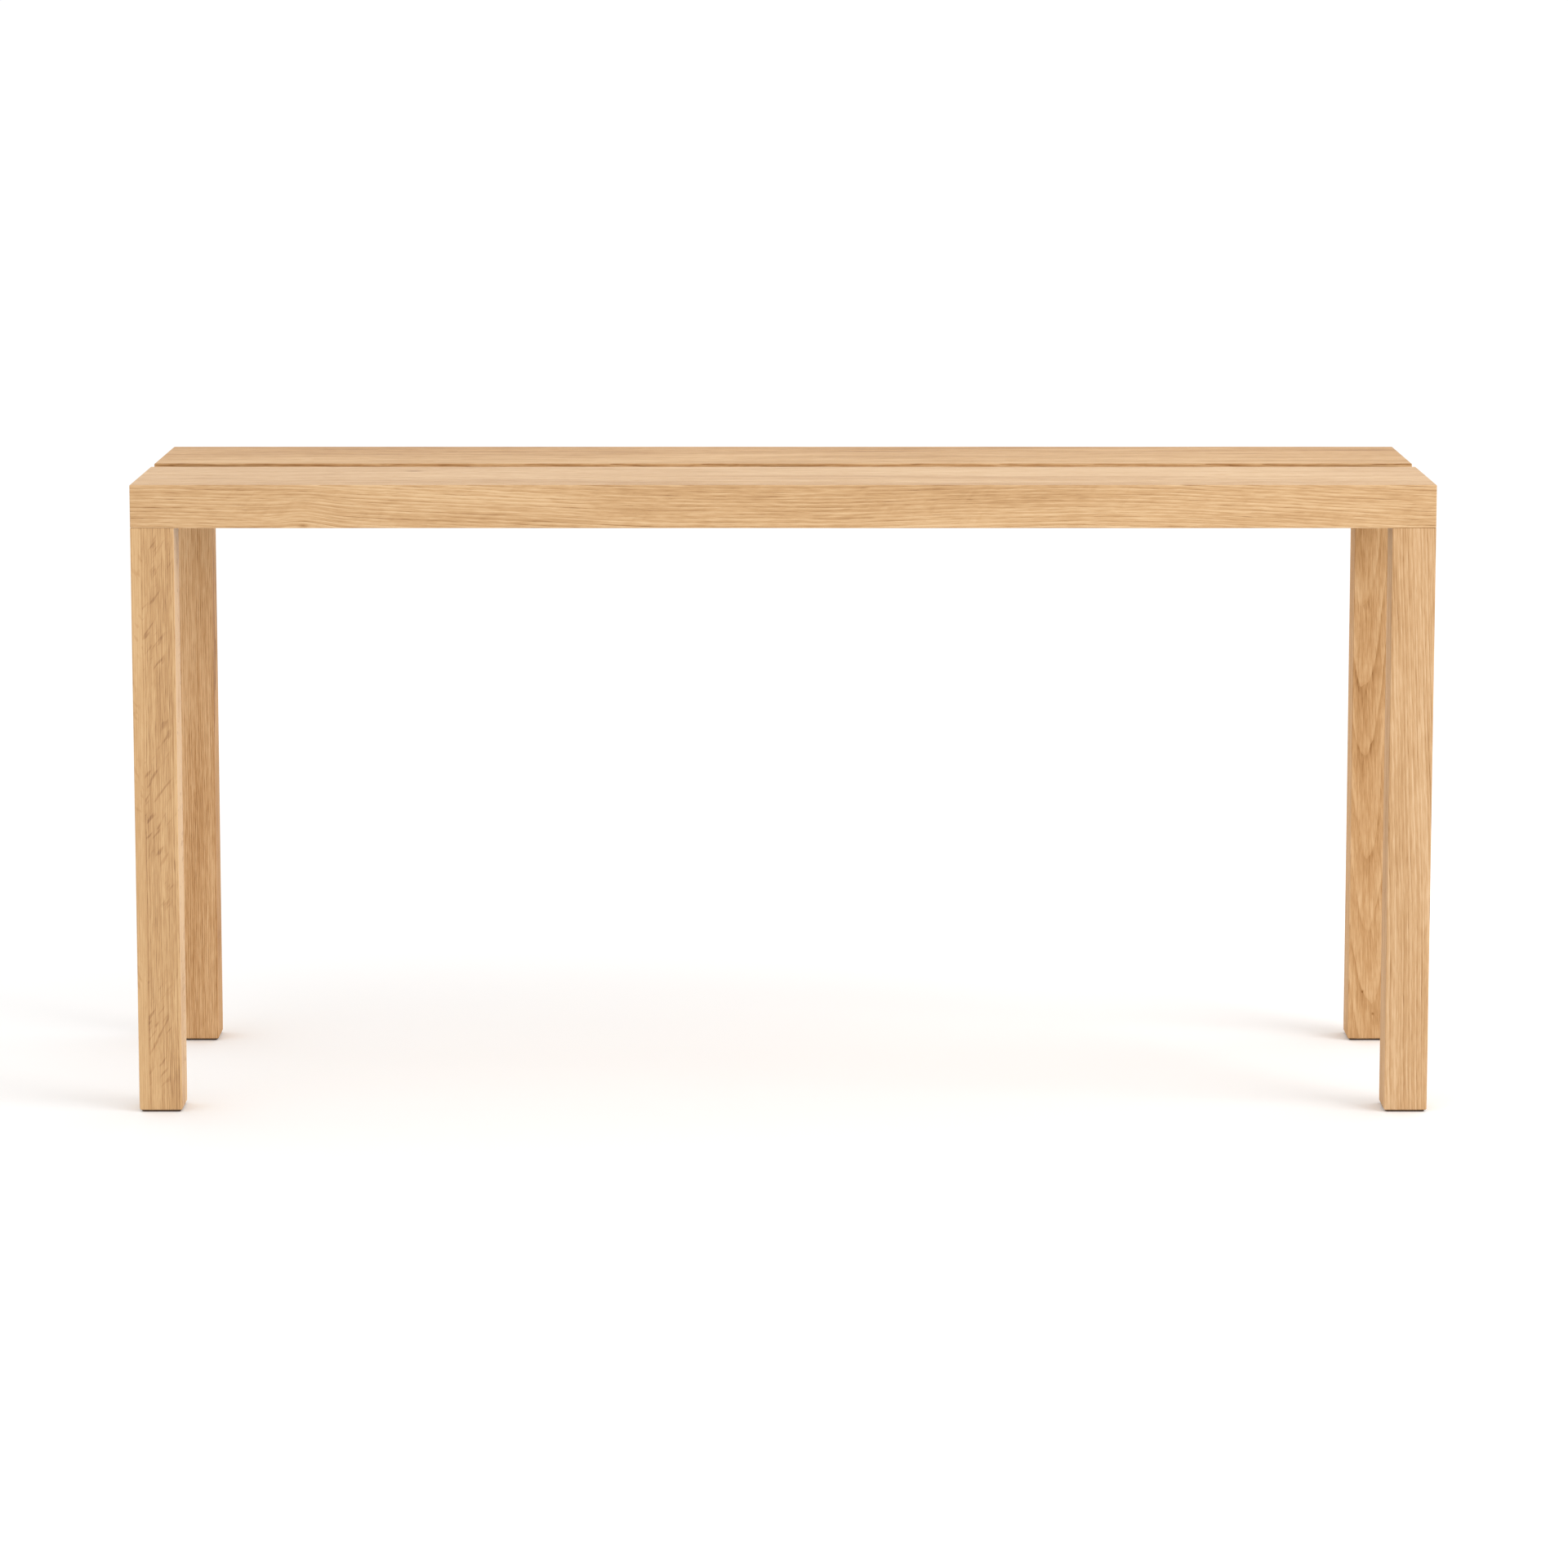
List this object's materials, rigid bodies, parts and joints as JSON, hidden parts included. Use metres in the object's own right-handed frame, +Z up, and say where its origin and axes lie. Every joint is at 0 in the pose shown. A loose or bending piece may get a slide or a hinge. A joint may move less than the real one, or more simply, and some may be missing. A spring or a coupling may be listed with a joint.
{
  "type": "communion table",
  "caption": "Rectangular table of thick oak planks with an open slot along the top, on square legs flush with the corners.",
  "frame": {"origin": "on the floor at the centre of the table", "axes": "+X along the length, the front faces -Y, +Z up"},
  "size_m": [1.5, 0.435, 0.735],
  "materials": {
    "oak": "oiled, open grain",
    "foot_pad": "dark brown felt",
    "black_steel": "matt black powder coat",
    "zinc_fastener": "bright zinc plate",
    "brass_insert": "plain turned"
  },
  "bodies": {
    "root": {"cross_bar_screws": "zinc_fastener", "front_left_foot_pad": "foot_pad", "front_left_leg": "oak", "front_left_leg_bolts": "zinc_fastener", "front_left_leg_inserts": "brass_insert", "front_plank_inserts": "brass_insert", "front_right_foot_pad": "foot_pad", "front_right_leg": "oak", "front_right_leg_bolts": "zinc_fastener", "front_right_leg_inserts": "brass_insert", "front_top_plank": "oak", "left_end_plate": "black_steel", "left_plate_screws": "zinc_fastener", "middle_cross_bar": "black_steel", "rear_left_foot_pad": "foot_pad", "rear_left_leg": "oak", "rear_left_leg_bolts": "zinc_fastener", "rear_left_leg_inserts": "brass_insert", "rear_plank_inserts": "brass_insert", "rear_right_foot_pad": "foot_pad", "rear_right_leg": "oak", "rear_right_leg_bolts": "zinc_fastener", "rear_right_leg_inserts": "brass_insert", "rear_top_plank": "oak", "right_end_plate": "black_steel", "right_plate_screws": "zinc_fastener"}
  },
  "joints": []
}
